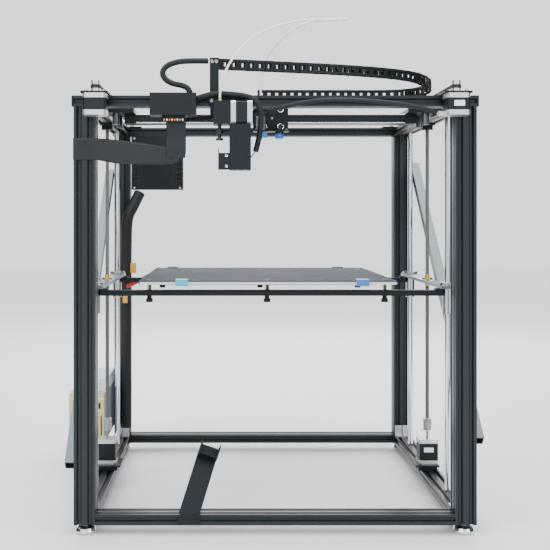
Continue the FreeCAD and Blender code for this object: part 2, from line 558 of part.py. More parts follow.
def chain():
    """Cable chain that lies flat: the near run turns back at the right, then runs to the carriage."""
    count = len(CHAIN_ROUTE)
    knots = list(range(count - 1))
    repeats = [3] + [1] * (count - 3) + [3]
    path = Part.BSplineCurve()
    path.buildFromPolesMultsKnots([V(*p) for p in CHAIN_ROUTE], repeats, knots, False, 2)
    joints = path.discretize(Number=int(path.length() / CHAIN_PITCH) + 1)
    for start, end in zip(joints, joints[1:]):
        run = end - start
        heading = math.degrees(math.atan2(run.y, run.x))
        reach = math.hypot(run.x, run.y) - CHAIN_GAP
        link = box(CHAIN_GAP, reach, -CHAIN_T / 2, CHAIN_T / 2, -CHAIN_H, 0)
        link = link.cut(box(0, 2 * reach, -CHAIN_T / 2 + 2, CHAIN_T / 2 - 2, -CHAIN_H + 2, -2))
        link = link.cut(box(5, 12, -CHAIN_T, CHAIN_T, -CHAIN_H + 6, -6))
        link.rotate(V(0, 0, 0), V(0, 0, 1), heading)
        link.translate(start)
        keep("chain_front_run" if -90 < heading <= 90 else "chain_rear_run", link)
    print("chain links", len(joints) - 1, "length", round(path.length()), "last", joints[-1])


for build in (frame, vertical_drive, bed_platform, corner_drive, gantry, carriage, front_assembly,
              boxes, cables, rear_wiring, chain):
    build()
whole = FreeCAD.BoundBox()
for solids in nodes.values():
    for solid in solids:
        whole.add(solid.BoundBox)
print("box x", whole.XMin, whole.XMax, "y", whole.YMin, whole.YMax, "z", whole.ZMin, whole.ZMax)
for name, solids in nodes.items():
    moved = solids[0].copy() if len(solids) == 1 else Part.makeCompound(solids)
    moved.translate(PLAN_SHIFT)
    if not moved.isValid():
        print("not valid:", name)
    moved.exportStep("parts/" + name + ".step")
print(len(nodes), "nodes")
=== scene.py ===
import math

import bmesh
import bpy
from mathutils import Matrix, Vector


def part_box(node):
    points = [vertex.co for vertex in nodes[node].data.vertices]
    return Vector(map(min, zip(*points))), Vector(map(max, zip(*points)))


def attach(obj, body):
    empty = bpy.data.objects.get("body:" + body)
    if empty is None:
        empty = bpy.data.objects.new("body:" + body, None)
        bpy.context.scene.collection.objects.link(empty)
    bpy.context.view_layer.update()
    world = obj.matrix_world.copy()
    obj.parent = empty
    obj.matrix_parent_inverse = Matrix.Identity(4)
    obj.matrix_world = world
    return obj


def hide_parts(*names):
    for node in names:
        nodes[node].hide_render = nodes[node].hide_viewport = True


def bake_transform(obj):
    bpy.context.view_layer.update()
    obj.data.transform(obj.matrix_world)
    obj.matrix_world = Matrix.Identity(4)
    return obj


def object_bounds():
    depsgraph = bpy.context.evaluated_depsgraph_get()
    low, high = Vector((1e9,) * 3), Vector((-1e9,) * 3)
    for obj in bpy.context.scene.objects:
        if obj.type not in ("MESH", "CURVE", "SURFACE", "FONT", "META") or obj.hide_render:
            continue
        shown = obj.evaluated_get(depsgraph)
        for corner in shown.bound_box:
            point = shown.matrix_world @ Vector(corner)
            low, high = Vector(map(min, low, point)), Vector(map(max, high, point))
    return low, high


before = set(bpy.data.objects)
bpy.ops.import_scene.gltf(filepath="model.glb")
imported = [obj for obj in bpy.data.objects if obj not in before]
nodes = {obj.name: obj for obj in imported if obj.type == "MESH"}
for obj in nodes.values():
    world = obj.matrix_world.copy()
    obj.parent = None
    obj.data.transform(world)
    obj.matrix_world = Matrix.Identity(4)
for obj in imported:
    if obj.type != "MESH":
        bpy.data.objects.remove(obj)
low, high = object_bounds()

MM = 0.001
SHIFT = Vector((32.0, 23.0, 0.0))    # from the machine's own centre to the row frame, in millimetres


def at(x, y, z):
    """A point given in the machine's millimetres, in the row frame in metres."""
    return (Vector((x, y, z)) + SHIFT) * MM


# ---------------------------------------------------------------- materials

BLACK = (0.003, 0.006, 0.008)
ANODISED = (0.006, 0.011, 0.014)
SILVER = (0.62, 0.63, 0.65)
CHROME = (0.72, 0.73, 0.74)
STEEL = (0.45, 0.45, 0.45)
OILED = (0.16, 0.17, 0.15)
ZINC = (0.55, 0.49, 0.22)
PALE_BLUE = (0.62, 0.70, 0.76)
BLUE_GREY = (0.16, 0.19, 0.24)
BRASS = (0.62, 0.44, 0.16)
SLATE = (0.030, 0.038, 0.047)
DARK_STEEL = (0.15, 0.17, 0.18)
RED = (0.42, 0.015, 0.012)
SILICONE = (0.02, 0.12, 0.36)
CYAN = (0.02, 0.36, 0.48)
TEAL = (0.01, 0.25, 0.27)
BLUE = (0.02, 0.13, 0.42)
MILKY = (0.78, 0.79, 0.78)
WHITE = (0.80, 0.80, 0.78)
ORANGE = (0.75, 0.20, 0.02)


class Graph:
    """Short names for adding shader nodes and links."""

    def __init__(self, material):
        material.use_nodes = True
        self.tree = material.node_tree
        self.shader = self.tree.nodes["Principled BSDF"]
        self.coords = self.add("ShaderNodeTexCoord").outputs["Object"]

    def add(self, kind, **settings):
        node = self.tree.nodes.new(kind)
        for key, value in settings.items():
            setattr(node, key, value)
        return node

    def link(self, source, target):
        self.tree.links.new(source, target)

    def math(self, operation, first, second=None):
        node = self.add("ShaderNodeMath", operation=operation)
        for socket, value in zip(node.inputs, (first, second)):
            if value is None:
                continue
            if isinstance(value, (int, float)):
                socket.default_value = value
            else:
                self.link(value, socket)
        return node.outputs[0]

    def noise(self, scale, detail=4.0, stretch=(1, 1, 1)):
        mapping = self.add("ShaderNodeMapping")
        mapping.inputs["Scale"].default_value = stretch
        self.link(self.coords, mapping.inputs["Vector"])
        node = self.add("ShaderNodeTexNoise")
        node.inputs["Scale"].default_value = scale
        node.inputs["Detail"].default_value = detail
        self.link(mapping.outputs[0], node.inputs["Vector"])
        return node.outputs["Fac"]

    def mix(self, factor, first, second):
        node = self.add("ShaderNodeMix", data_type="RGBA")
        self.link(factor, node.inputs["Factor"])
        for socket, value in zip((node.inputs[6], node.inputs[7]), (first, second)):
            if isinstance(value, tuple):
                socket.default_value = (*value, 1)
            else:
                self.link(value, socket)
        return node.outputs[2]

    def blend(self, factor, first, second):
        """A number that goes from first to second with factor."""
        if isinstance(first, (int, float)):
            slope = self.math("MULTIPLY", factor, second - first)
            return self.math("ADD", slope, first)
        keep = self.math("MULTIPLY", first, self.math("SUBTRACT", 1.0, factor))
        return self.math("ADD", keep, self.math("MULTIPLY", factor, second))


def finish(name, colour, rough, metal=0.0, grain=900, depth=0.08, tint=0.12, stretch=(1, 1, 1), zones=(),
           ribs=None, coat=0.0, gloss=0.5, edge=0.0004):
    """A procedural finish. Zones are (axis, low, high, colour, rough, metal) slabs of the row frame."""
    material = bpy.data.materials.new(name)
    g = Graph(material)
    speck = g.noise(grain, stretch=stretch)
    cloud = g.noise(14)
    dark = tuple(c * (1 - tint) for c in colour)
    pale = tuple(min(1.0, c * (1 + tint) + 0.002) for c in colour)
    paint = g.mix(g.math("ADD", g.math("MULTIPLY", speck, 0.6), g.math("MULTIPLY", cloud, 0.4)), dark, pale)
    roughness = g.blend(cloud, rough * 0.85, min(1.0, rough * 1.15))
    metallic = None
    if zones:
        split = g.add("ShaderNodeSeparateXYZ")
        g.link(g.coords, split.inputs[0])
        metallic = g.math("ADD", metal, 0.0)
        for axis, start, end, zone_colour, zone_rough, zone_metal in zones:
            place = split.outputs["XYZ".index(axis)]
            above, below = g.math("GREATER_THAN", place, start), g.math("LESS_THAN", place, end)
            inside = g.math("MULTIPLY", above, below)
            paint = g.mix(inside, paint, zone_colour)
            roughness = g.blend(inside, roughness, zone_rough)
            metallic = g.blend(inside, metallic, zone_metal)
    height = g.math("MULTIPLY", speck, 1.0)
    if ribs:
        axis, pitch, amount = ribs
        split = g.add("ShaderNodeSeparateXYZ")
        g.link(g.coords, split.inputs[0])
        phase = g.math("MULTIPLY", split.outputs["XYZ".index(axis)], 2 * math.pi / pitch)
        rib = g.math("MULTIPLY", g.math("SINE", phase), amount)
        height = g.math("ADD", height, rib)
        # Rib crests take the paler tone: a painted highlight along each ridge.
        paint = g.mix(g.math("GREATER_THAN", rib, amount * 0.2), paint, pale)
    bevel = g.add("ShaderNodeBevel")
    bevel.samples = 2
    bevel.inputs["Radius"].default_value = edge
    bump = g.add("ShaderNodeBump")
    bump.inputs["Strength"].default_value = depth
    bump.inputs["Distance"].default_value = 0.0004
    g.link(height, bump.inputs["Height"])
    g.link(bevel.outputs[0], bump.inputs["Normal"])
    g.link(bump.outputs[0], g.shader.inputs["Normal"])
    g.link(paint, g.shader.inputs["Base Color"])
    g.link(roughness, g.shader.inputs["Roughness"])
    if metallic is None:
        g.shader.inputs["Metallic"].default_value = metal
    else:
        g.link(metallic, g.shader.inputs["Metallic"])
    g.shader.inputs["Coat Weight"].default_value = coat
    g.shader.inputs["Specular IOR Level"].default_value = gloss
    return material


def braid(name, colour, cell):
    """Crossed strands of a braided sleeve, with the raised strands coloured paler as a painted sheen."""
    material = bpy.data.materials.new(name)
    g = Graph(material)
    split = g.add("ShaderNodeSeparateXYZ")
    g.link(g.coords, split.inputs[0])
    across = g.math("ADD", split.outputs[0], split.outputs[1])
    turn = 2 * math.pi / cell
    first = g.math("SINE", g.math("MULTIPLY", g.math("ADD", across, split.outputs[2]), turn))
    second = g.math("SINE", g.math("MULTIPLY", g.math("SUBTRACT", across, split.outputs[2]), turn))
    weave = g.math("MULTIPLY", first, second)
    mask = g.math("GREATER_THAN", weave, 0.0)
    pale = tuple(c * 1.8 + 0.006 for c in colour)
    g.link(g.mix(mask, colour, pale), g.shader.inputs["Base Color"])
    bump = g.add("ShaderNodeBump")
    bump.inputs["Strength"].default_value = 0.6
    bump.inputs["Distance"].default_value = 0.0005
    g.link(weave, bump.inputs["Height"])
    g.link(bump.outputs[0], g.shader.inputs["Normal"])
    g.shader.inputs["Roughness"].default_value = 0.5
    g.shader.inputs["Specular IOR Level"].default_value = 0.25
    return material


def motor_finish(name, node, axis, bell):
    """Black laminations between two silver end bells."""
    lo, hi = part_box(node)
    i = "XYZ".index(axis)
    ends = [(axis, lo[i] - MM, lo[i] + bell, SILVER, 0.35, 0.85),
            (axis, hi[i] - bell, hi[i] + MM, SILVER, 0.35, 0.85)]
    stretch = tuple(8 if k == i else 1 for k in range(3))
    return finish(name, BLACK, 0.42, grain=500, depth=0.2, stretch=stretch, zones=ends, gloss=0.25)


def dress(material, *names):
    """Gives CAD nodes a finish."""
    for name in names:
        mesh = nodes[name].data
        mesh.materials.clear()
        mesh.materials.append(material)


anodised = finish("anodised_profile", ANODISED, 0.36, 0.35, grain=700, depth=0.05)
chrome = finish("chrome", CHROME, 0.12, 1.0, grain=1200, depth=0.01, tint=0.03)
steel = finish("steel", STEEL, 0.3, 1.0, grain=900, depth=0.05)
silver = finish("silver", SILVER, 0.32, 0.9, grain=900, depth=0.04, tint=0.05)
black_metal = finish("black_metal", BLACK, 0.42, grain=1600, depth=0.12, gloss=0.22)
black_plastic = finish("black_plastic", BLACK, 0.5, grain=2200, depth=0.15, gloss=0.22)
dull_plastic = finish("dull_plastic", BLACK, 0.6, grain=2200, depth=0.2, gloss=0.22)
brass = finish("brass", BRASS, 0.3, 1.0, grain=900, depth=0.04)
belt_rubber = finish("belt_rubber", BLACK, 0.7, grain=1500, depth=0.4, ribs=("Y", 0.002, 1.5))
cross_belt = finish("cross_belt", BLACK, 0.7, grain=1500, depth=0.4, ribs=("X", 0.002, 1.5))
screw_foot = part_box("lead_screw_left")[0][2]
threads = finish("screw_threads", OILED, 0.42, 0.8, grain=900, depth=0.9, ribs=("Z", 0.002, 2.0),
                 zones=[("Z", screw_foot - MM, screw_foot + 60 * MM, SILVER, 0.32, 0.9)])
milky = finish("feed_tube", MILKY, 0.3, grain=600, depth=0.03, tint=0.03, coat=0.4)
braid_finish = braid("braided_sleeve", BLACK, 0.0032)
wrap_finish = braid("spiral_wrap", (0.008, 0.008, 0.009), 0.006)
red_rubber = finish("red_wire", RED, 0.42, grain=900, depth=0.06, coat=0.2)
ribbon_finish = finish("ribbon_cable", BLACK, 0.45, grain=900, depth=0.12, ribs=("Z", 0.0027, 1.0),
                       gloss=0.3)
label_white = finish("blank_label", WHITE, 0.5, grain=1200, depth=0.05, tint=0.04)
# Near-black: painted shade in the vent openings, and the dark lid seams.
dark_slot = finish("dark_slot", (0.004, 0.004, 0.005), 0.8, grain=1200, depth=0.1)
gold_plug = finish("gold_plug", (0.66, 0.42, 0.08), 0.35, 0.4, grain=900, depth=0.05)
white_plug = finish("white_contacts", WHITE, 0.4, grain=900, depth=0.05)
spring_wire = finish("spring_wire", (0.30, 0.26, 0.12), 0.36, 0.8, grain=900, depth=0.04)
orange_plug = finish("orange_contacts", ORANGE, 0.4, grain=900, depth=0.05)

bed_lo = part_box("heated_bed")[0]
rail_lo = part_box("cross_rail")[0]
bracket_lo, bracket_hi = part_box("gantry_brackets")
plate_lo, plate_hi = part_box("corner_plates")
probe_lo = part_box("bed_probe")[0]
brace_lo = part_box("side_braces")[0]
fitting_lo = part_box("tube_fittings")[0]
supply_lo, supply_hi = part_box("power_supply")

dress(anodised, "corner_posts", "frame_beams")
dress(chrome, "levelling_feet", "smooth_rods")
dress(silver, "drive_pulley_left", "drive_pulley_right", "hot_end")
dress(finish("side_brace", DARK_STEEL, 0.32, 0.9, grain=900, depth=0.04, tint=0.06,
             zones=[("Z", brace_lo[2] - MM, brace_lo[2] + 25.5 * MM, SILVER, 0.34, 0.9)]), "side_braces")
dress(steel, "rod_bearings")
dress(threads, "lead_screw_left", "lead_screw_right")
dress(brass, "lead_nuts", "extruder_gear")
dress(finish("tube_fittings", BRASS, 0.3, 1.0, grain=900, depth=0.04,
             zones=[("Z", fitting_lo[2] - MM, fitting_lo[2] + 29 * MM, BLACK, 0.5, 0.0)]), "tube_fittings")
dress(black_metal, "front_bracket", "carriage_plate", "extruder_cover", "spool_arm", "screw_supports")
dress(black_plastic, "end_caps", "controller_box", "junction_box", "extruder_body", "cross_bars")
dress(belt_rubber, "frame_belts")
dress(cross_belt, "gantry_belts")
dress(finish("blue_grey_plate", BLUE_GREY, 0.34, 0.8, grain=700, depth=0.05), "side_plates")
dress(finish("build_surface", SLATE, 0.72, grain=2600, depth=0.25, tint=0.25, gloss=0.15), "build_surface")
dress(finish("bed_plate", SILVER, 0.3, 0.9, grain=900, depth=0.04,
             zones=[("Z", bed_lo[2] - MM, bed_lo[2] + 3 * MM, BLACK, 0.7, 0.0)]), "heated_bed")
dress(finish("heater_sock", SILICONE, 0.55, grain=1400, depth=0.1), "heater_sock")
dress(finish("bed_probe", BLACK, 0.45, grain=1400, depth=0.1,
             zones=[("Z", probe_lo[2] - MM, probe_lo[2] + 9 * MM, SILICONE, 0.5, 0.0)]), "bed_probe")
dress(finish("bed_clips", BLUE, 0.3, grain=900, depth=0.04, coat=0.3,
             zones=[("X", -1, 0.5 * (low[0] + high[0]), CYAN, 0.3, 0.0),
                    ("Y", 0, 1, TEAL, 0.4, 0.0)]), "bed_clips")
dress(finish("cross_rail", ANODISED, 0.36, 0.5, grain=700, depth=0.05,
             zones=[("Y", rail_lo[1] - MM, rail_lo[1] + 2.4 * MM, CHROME, 0.2, 1.0)]), "cross_rail")
dress(finish("gantry_bracket", BLACK, 0.4, grain=1600, depth=0.1, gloss=0.22,
             zones=[("Z", bracket_lo[2] - MM, bracket_lo[2] + 23.9 * MM, DARK_STEEL, 0.3, 0.9),
                    ("Z", bracket_lo[2] + 32.1 * MM, bracket_hi[2] + MM, SILVER, 0.3, 0.9)]),
      "gantry_brackets")
dress(finish("corner_plate", BLACK, 0.4, grain=1600, depth=0.1, gloss=0.22,
             zones=[("Z", plate_lo[2] + 3.1 * MM, plate_hi[2] + MM, SILVER, 0.3, 0.9)]), "corner_plates")
dress(finish("power_box", ZINC, 0.36, 0.55, grain=500, depth=0.08, tint=0.1,
             # The blue-grey slab on the box's right side face is painted shade: that face is coloured dark
             # to stand for its shadow.
             zones=[("X", supply_hi[0] - 2 * MM, supply_hi[0] + MM, BLUE_GREY, 0.5, 0.2),
                    ("Z", supply_hi[2] - 29 * MM, supply_hi[2] + MM, PALE_BLUE, 0.45, 0.1)]), "power_supply")
dress(motor_finish("lift_motor", "lift_motors", "Z", 8 * MM), "lift_motors")
dress(motor_finish("belt_motor", "belt_motors", "Z", 9 * MM), "belt_motors")
dress(motor_finish("extruder_motor", "extruder_motor", "X", 9 * MM), "extruder_motor")
WHEELS = [f"wheel_{row}_{side}" for row in ("lower", "upper") for side in ("left", "right")]
KNOBS = [f"knob_{row}_{place}" for row in ("front", "rear") for place in ("left", "middle", "right")]
dress(finish("carriage_wheel", BLACK, 0.45, grain=900, depth=0.05), *WHEELS)
dress(dull_plastic, *KNOBS)


# ---------------------------------------------------------------- mesh helpers

def piece(name, build, material, body, replaced=()):
    """Builds a mesh in the row frame, gives it its finish and lets it ride on a body."""
    mesh = bpy.data.meshes.new(name)
    bm = bmesh.new()
    build(bm)
    bm.to_mesh(mesh)
    bm.free()
    obj = bpy.data.objects.new(name, mesh)
    bpy.context.scene.collection.objects.link(obj)
    mesh.materials.append(material)
    if body:
        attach(obj, body)
    if replaced:
        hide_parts(*replaced)
    return obj


def block(bm, lo, hi, round_off=0.0004, turn=None):
    """A box between two corners with rounded edges; turn is applied last."""
    lo, hi = Vector(lo), Vector(hi)
    made = bmesh.ops.create_cube(bm, size=1.0)["verts"]
    size = hi - lo
    bmesh.ops.scale(bm, vec=size, verts=made)
    bmesh.ops.translate(bm, vec=(lo + hi) / 2, verts=made)
    if round_off:
        edges = list({e for v in made for e in v.link_edges})
        offset = min(round_off, 0.3 * min(size))
        result = bmesh.ops.bevel(bm, geom=edges, offset=offset, segments=2, affect="EDGES")
        made = list({v for f in result["faces"] for v in f.verts} | {v for v in made if v.is_valid})
    if turn:
        bmesh.ops.transform(bm, matrix=turn, verts=made)
    return made


def disc(bm, centre, axis, radius, height, sides=24, socket=0.0):
    """A short cylinder from centre along axis, with a hexagonal socket sunk in its far end if asked."""
    made = bmesh.ops.create_cone(bm, cap_ends=True, segments=sides, radius1=radius, radius2=radius,
                                 depth=height)
    turn = Vector((0, 0, 1)).rotation_difference(Vector(axis)).to_matrix().to_4x4()
    place = Matrix.Translation(Vector(centre) + Vector(axis).normalized() * height / 2) @ turn
    bmesh.ops.transform(bm, matrix=place, verts=made["verts"])
    if socket:
        top = max({f for v in made["verts"] for f in v.link_faces if len(f.verts) == sides},
                  key=lambda f: f.calc_center_median().dot(Vector(axis)))
        bmesh.ops.inset_region(bm, faces=[top], thickness=radius - socket)
        bmesh.ops.translate(bm, vec=-Vector(axis).normalized() * height * 0.6, verts=top.verts)


def screws(name, body, spots, material=steel, radius=0.0034, height=0.0026):
    """Socket head screws at (place, axis) spots."""

    def build(bm):
        for place, axis in spots:
            disc(bm, place, axis, radius, height, socket=radius * 0.5)

    return piece(name, build, material, body)


def route(name, points, radius=0.0):
    """An order 3 NURBS curve with the route's points as its control points."""
    curve = bpy.data.curves.new(name, "CURVE")
    curve.dimensions = "3D"
    curve.resolution_u = 12
    curve.bevel_depth = radius
    curve.bevel_resolution = 6
    curve.use_fill_caps = True
    spline = curve.splines.new("NURBS")
    spline.points.add(len(points) - 1)
    for target, place in zip(spline.points, points):
        target.co = (*at(*place), 1)
    spline.order_u = 3
    spline.use_endpoint_u = True
    obj = bpy.data.objects.new(name, curve)
    bpy.context.scene.collection.objects.link(obj)
    return obj


def line_of(points):
    """Points along the route's own line."""
    bare = route("line", points)
    mesh = bpy.data.meshes.new_from_object(bare)
    found = [v.co.copy() for v in mesh.vertices]
    bpy.data.objects.remove(bare)
    bpy.data.meshes.remove(mesh)
    return found


def measure(points):
    return sum((b - a).length for a, b in zip(points, points[1:]))


def sleeve(name, node, points, radius, material):
    """A cable held at both ends."""
    obj = route(name, points, radius * MM)
    obj.data.materials.append(material)
    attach(obj, "frame")
    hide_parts(node)
    line = line_of(points)
    return obj


def bending_tube(name, node, points, radius, material):
    """A curved tube or lead running between two bodies, as a mesh with no parent."""
    source = route(name + "_route", points, radius * MM)
    mesh = bpy.data.meshes.new_from_object(source)
    bpy.data.objects.remove(source)
    mesh.materials.clear()
    mesh.materials.append(material)
    for face in mesh.polygons:
        face.use_smooth = True
    obj = bpy.data.objects.new(name, mesh)
    bpy.context.scene.collection.objects.link(obj)
    line = line_of(points)
    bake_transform(obj)
    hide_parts(node)
    return obj


# ---------------------------------------------------------------- cables, sleeves and the feed tube

TO_CHAIN = [(-157, -372, 819.2), (-160, -372, 828), (-172, -371, 833.5), (-190, -370, 836.5),
            (-204, -369, 845), (-209, -368, 858), (-201, -366, 870), (-182, -364, 877.5),
            (-158, -361, 880), (-124, -358, 880)]
TO_COVER = [(-142.8, -370, 810), (-126, -370, 816), (-104, -366, 819), (-80, -366, 817.5),
            (-58, -366, 815), (-35, -366, 808), (-26.5, -366, 786), (-27, -366, 762), (-30, -366, 738),
            (-37, -366, 712)]
MOTOR_LEAD = [(297, -362, 783.5), (277, -362, 791), (235, -362, 800), (187, -360, 805), (139, -360, 808),
              (97, -360, 808), (62, -360, 805), (30, -360, 799), (-4, -356, 792), (-30, -345, 787.5),
              (-62, -339, 784), (-96, -338, 780), (-128, -340, 775.5), (-149, -347, 772),
              (-161.5, -362, 771.5)]
HARNESS = [(-342, 286, 66), (-341, 285, 150), (-342, 286, 240), (-341, 285, 330), (-342, 286, 420),
           (-341, 285, 510), (-340, 286, 590), (-326, 292, 615), (-310, 310, 652)]
HEATER = [(-246, 237, 453.8), (-268, 238, 452), (-290, 243, 444), (-310, 252, 433), (-326, 260, 424),
          (-337, 266, 419)]
TUBE_FRONT = [(-102.5, -380, 805), (-102.5, -380, 825), (-93, -376, 859), (-76.5, -370, 887),
              (-54.5, -362, 914.5), (-26.5, -353, 934.5), (5.5, -343, 949.5), (52, -322, 963),
              (81.5, -308, 966), (113, -295, 968), (136, -286, 971), (143, -274, 974.5)]
TUBE_REAR = [(143, -274, 974.5), (139, -261, 978), (116, -250, 980.5), (68, -238, 975.5),
             (45.5, -228, 966), (16.5, -213, 945), (-3, -202, 923), (-13, -193, 903), (-19.5, -186, 874),
             (-21.5, -183, 842), (-21, -182, 807.6)]

sleeve("chain_sleeve", "sleeve_to_chain", TO_CHAIN, 5.3, braid_finish)
sleeve("cover_sleeve", "sleeve_to_cover", TO_COVER, 5.3, braid_finish)
sleeve("belt_motor_lead", "motor_lead", MOTOR_LEAD, 4.3, braid_finish)
sleeve("wrapped_harness", "cable_harness", HARNESS, 14.0, wrap_finish)
bending_tube("feed_tube_front", "tube_front_half", TUBE_FRONT, 2.0, milky)
bending_tube("feed_tube_rear", "tube_rear_half", TUBE_REAR, 2.0, milky)
bending_tube("bed_heater_lead", "heater_cable", HEATER, 5.0, red_rubber)


# ---------------------------------------------------------------- cable chain

CHAIN_PITCH = 17.0
CHAIN_H = 19.5
CHAIN_T = 15.0
CHAIN_ROUTE = [(-118, -341, 887), (-36, -318, 887), (45, -294, 887), (126, -268, 887), (205, -235, 887),
               (262, -199, 887), (300, -164, 886), (328, -122, 882), (339, -89, 879), (340, -55, 875),
               (330, -23, 875), (308, 4, 875), (280, 19, 875), (250, 21, 875), (190, 21, 875),
               (80, 20, 875), (-21, 19, 875)]


def chain_places():
    """Start and heading of each link in metres, with its length, at equal steps along the route."""
    line = line_of(CHAIN_ROUTE)
    total = measure(line)
    count = int(total / (CHAIN_PITCH * MM))
    joints, travelled, number = [], 0.0, 0
    for a, b in zip(line, line[1:]):
        step = (b - a).length
        while number <= count and travelled + step >= total * number / count - 1e-7:
            joints.append(a.lerp(b, min(1.0, (total * number / count - travelled) / step)))
            number += 1
        travelled += step
    places = []
    for start, end in zip(joints, joints[1:]):
        run = end - start
        places.append((start, math.degrees(math.atan2(run.y, run.x)), math.hypot(run.x, run.y)))
    return places


def link_mesh(bm, start, heading, reach, odd):
    """Two windowed side plates with pin bosses, joined by a cross bar above and below."""
    turn = Matrix.Translation(start) @ Matrix.Rotation(math.radians(heading), 4, "Z")
    wall, half, near, end = 2.0, CHAIN_T / 2, 0.1, reach / MM - 0.1
    inset = 0.9 if odd else 0.0
    rim = 5.4
    bars = []
    for side in (-1, 1):
        inner, outer = side * (half - inset - wall), side * (half - inset)
        y0, y1 = min(inner, outer), max(inner, outer)
        bars += [((near, y0, -CHAIN_H), (end, y1, rim - CHAIN_H)), ((near, y0, -rim), (end, y1, 0)),
                 ((near, y0, rim - CHAIN_H), (5.2, y1, -rim)), ((12.0, y0, rim - CHAIN_H), (end, y1, -rim))]
    bars += [((6.0, -half + wall, -CHAIN_H), (11.5, half - wall, 1.8 - CHAIN_H)),
             ((6.0, -half + wall, -1.8), (11.5, half - wall, 0))]
    for lo, hi in bars:
        block(bm, Vector(lo) * MM, Vector(hi) * MM, 0.0004, turn)
    for side in (-1, 1):
        centre = turn @ (Vector((2.6, side * (half - inset - 0.2), -CHAIN_H / 2)) * MM)
        direction = (turn.to_3x3() @ Vector((0, side, 0))).normalized()
        disc(bm, centre, direction, 2.3 * MM, 0.6 * MM, 12)


def chain_run(name, places, node):
    def build(bm):
        for number, (place, heading, reach) in enumerate(places):
            link_mesh(bm, place, heading, reach, number % 2)

    obj = piece(name, build, black_plastic, None)
    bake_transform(obj)
    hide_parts(node)
    return obj


places = chain_places()
front_run = [p for p in places if -90 < p[1] <= 90]
rear_run = places[len(front_run):]
chain_run("cable_chain_front", front_run, "chain_front_run")
chain_run("cable_chain_rear", rear_run, "chain_rear_run")


# ---------------------------------------------------------------- ribbon cable

def ribbon():
    """A flat cable round the front left post, across the front and up to the junction box."""
    lo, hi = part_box("ribbon_cable")
    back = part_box("corner_posts")[0][1]
    thick = 1.2 * MM

    def strip(bm, tops, bottoms):
        rows = []
        for a, b in zip(tops, bottoms):
            rows.append([bm.verts.new(a.lerp(b, k / 14)) for k in range(15)])
        for first, second in zip(rows, rows[1:]):
            for k in range(14):
                bm.faces.new((first[k], second[k], second[k + 1], first[k + 1]))

    def smooth(points, count=8):
        """Points along a soft curve through the given ones."""
        out = []
        for i in range(len(points) - 1):
            p0, p1 = points[max(i - 1, 0)], points[i]
            p2, p3 = points[i + 1], points[min(i + 2, len(points) - 1)]
            for k in range(count):
                t = k / count
                out.append(0.5 * (2 * p1 + (p2 - p0) * t + (2 * p0 - 5 * p1 + 4 * p2 - p3) * t * t
                                  + (3 * p1 - p0 - 3 * p2 + p3) * t * t * t))
        return out + [points[-1]]

    side = lo[0] + thick
    near = back - thick
    free = lo[1] + thick
    level = hi[2] - 27.5 * MM    # top edge where the ribbon lies flat on the post
    top = [Vector((side, back + 39 * MM, level)), Vector((side, back + 12 * MM, level)),
           Vector((side, back + 2 * MM, level)), Vector((side + 2 * MM, near, level)),
           Vector((side + 20 * MM, near, level - 0.1 * MM)), at(-330, -351.5, 738),
           at(-290, -357.5, 734), at(-240, -365.3, 727), at(-200, -371.5, 721), at(-165.5, -376.6, 716.5)]
    bottom = [p - Vector((0, 0, 41 * MM)) for p in top[:6]]
    bottom += [at(-292, -357, 690.5), at(-246, -364.4, 688.5), at(-212, -369.5, 688),
               at(-183.5, -373.5, 690)]
    for group in (top, bottom):
        for place in group:
            place.y = max(place.y, free)

    def build(bm):
        strip(bm, smooth(top), smooth(bottom))
        left, right = -200.8, -164.4
        rise = [(left + 1.0, right - 1.5, 700, -374.6), (left, right, 712, -375.8),
                (left, right, 735, -374.4), (left, right, 752, -375.4), (left, right, 765.6, -375.6)]
        lefts, rights = [at(a, y, z) for a, b, z, y in rise], [at(b, y, z) for a, b, z, y in rise]
        strip(bm, smooth(lefts), smooth(rights))
        for face in bm.faces:
            face.smooth = True

    obj = piece("flat_ribbon", build, ribbon_finish, "frame", ("ribbon_cable",))
    shell = obj.modifiers.new("thickness", "SOLIDIFY")
    shell.thickness = thick
    shell.offset = 0.0
    return obj


ribbon()


# ---------------------------------------------------------------- springs under the bed

def spring_coils():
    """Steel coils round each levelling screw."""
    lo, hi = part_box("bed_springs")
    wire, turns, steps = 0.55 * MM, 6, 14
    curve = bpy.data.curves.new("bed_spring_coils", "CURVE")
    curve.dimensions = "3D"
    curve.bevel_depth = wire
    curve.bevel_resolution = 3
    for name in KNOBS:
        knob_lo, knob_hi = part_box(name)
        cx, cy = (knob_lo[0] + knob_hi[0]) / 2, (knob_lo[1] + knob_hi[1]) / 2
        spline = curve.splines.new("POLY")
        spline.points.add(turns * steps)
        for k, target in enumerate(spline.points):
            angle = 2 * math.pi * k / steps
            height = lo[2] + wire + (hi[2] - lo[2] - 2 * wire) * k / (turns * steps)
            reach = 4.4 * MM
            target.co = (cx + reach * math.cos(angle), cy + reach * math.sin(angle), height, 1)
    obj = bpy.data.objects.new("bed_spring_coils", curve)
    bpy.context.scene.collection.objects.link(obj)
    curve.materials.append(spring_wire)
    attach(obj, "platform")
    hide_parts("bed_springs")


spring_coils()


# ---------------------------------------------------------------- fasteners

UP, FRONT = (0, 0, 1), (0, -1, 0)


